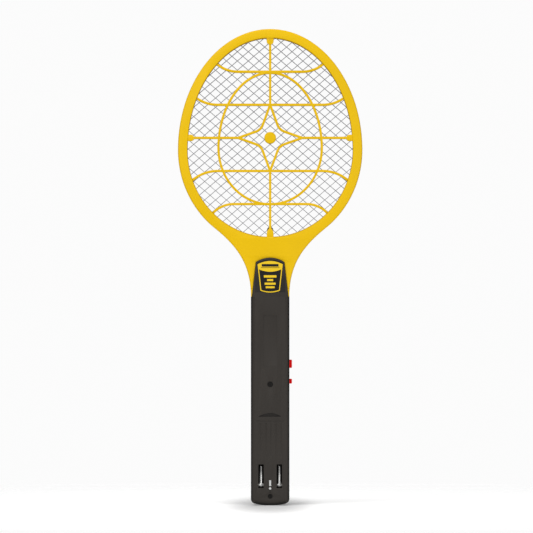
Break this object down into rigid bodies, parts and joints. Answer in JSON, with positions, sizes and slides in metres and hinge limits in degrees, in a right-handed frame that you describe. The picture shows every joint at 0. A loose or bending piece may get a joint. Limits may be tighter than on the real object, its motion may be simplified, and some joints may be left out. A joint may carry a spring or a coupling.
{
  "type": "electric fly swatter",
  "caption": "Battery racket with an oval grilled head, layered wire nets, a straight handle, side switches and a fold-out charging plug.",
  "frame": {"origin": "middle of the handle's end, at the lowest point, on the parting plane", "axes": "+Z along the racket from the handle's end to the top of the head; -Y out of the front face, which carries the label, the screws and the folded plug; +X towards the side with the switches"},
  "size_m": [0.182, 0.03, 0.4699],
  "materials": {
    "frame_plastic": "moulded yellow ABS, soft gloss",
    "handle_plastic": "moulded charcoal ABS, fine satin texture",
    "net_steel": "thin slit-and-drawn steel, dull",
    "black_rubber": "black heat-shrink sleeve",
    "black_plastic": "moulded black component body",
    "white_plastic": "natural nylon",
    "red_plastic": "moulded red, glossy",
    "label_film": "printed black and yellow film",
    "pin_metal": "nickel-plated brass, polished",
    "brass_parts": "stamped brass strip",
    "screw_steel": "blackened steel",
    "clear_plastic": "clear acrylic",
    "battery_case": "moulded battery case",
    "foam": "closed-cell foam pad",
    "board_laminate": "green solder mask on glass-epoxy",
    "ferrite": "sintered ferrite",
    "winding_tape": "amber tape over copper wire",
    "capacitor_red": "dipped epoxy",
    "capacitor_yellow": "moulded film capacitor case",
    "capacitor_blue": "dipped ceramic disc",
    "resistor_body": "lacquered, colour banded",
    "black_lead": "black insulated wire",
    "red_lead": "red insulated wire",
    "white_lead": "white insulated wire"
  },
  "bodies": {
    "racket": {"front_frame": "frame_plastic", "rear_frame": "frame_plastic", "front_grille": "frame_plastic", "rear_grille": "frame_plastic", "front_net": "net_steel", "charged_net": "net_steel", "rear_net": "net_steel", "front_spacer_ring": "frame_plastic", "rear_spacer_ring": "frame_plastic", "centre_button_front": "frame_plastic", "centre_button_rear": "frame_plastic", "centre_collars": "frame_plastic", "terminal_sleeves": "black_rubber", "net_terminals": "brass_parts", "front_handle_shell": "handle_plastic", "rear_handle_shell": "handle_plastic", "handle_screws": "screw_steel", "badge_label": "label_film", "press_switch_body": "black_plastic", "button_spring": "screw_steel", "slide_switch_body": "black_plastic", "plug_contacts": "brass_parts", "plug_detent_spring": "screw_steel", "charge_light_pipe": "clear_plastic", "charge_led": "clear_plastic", "battery": "battery_case", "battery_tabs": "brass_parts", "battery_foam": "foam", "circuit_board": "board_laminate", "board_screws": "screw_steel", "transformer_core": "ferrite", "transformer_bobbin": "white_plastic", "transformer_winding": "winding_tape", "high_voltage_capacitor": "capacitor_red", "charging_capacitor": "capacitor_yellow", "multiplier_capacitors": "capacitor_blue", "diodes": "black_plastic", "resistors": "resistor_body", "power_transistor": "black_plastic", "front_net_lead": "black_lead", "charged_net_lead": "red_lead", "rear_net_lead": "black_lead", "left_plug_lead": "white_lead", "right_plug_lead": "white_lead", "battery_lead_negative": "black_lead", "battery_lead_positive": "red_lead"},
    "push_button": {"push_button": "red_plastic", "press_plunger": "white_plastic"},
    "slide_knob": {"slide_knob": "red_plastic"},
    "folding_plug": {"plug_axle": "white_plastic", "plug_pin_left": "pin_metal", "plug_pin_right": "pin_metal", "plug_cradle": "white_plastic"}
  },
  "joints": [
    {"name": "push_button_press", "type": "slide", "parent": "racket", "child": "push_button", "axis": [-1, 0, 0], "range_m": [0, 0.0015], "stiffness_N_per_m": 800, "deforming": ["button_spring"]},
    {"name": "slide_switch_slide", "type": "slide", "parent": "racket", "child": "slide_knob", "axis": [0, 0, 1], "range_m": [0, 0.002]},
    {"name": "plug_fold", "type": "hinge", "parent": "racket", "child": "folding_plug", "pos_m": [0, -0.0105, 0.0198], "axis": [1, 0, 0], "range_deg": [0, 90]}
  ]
}
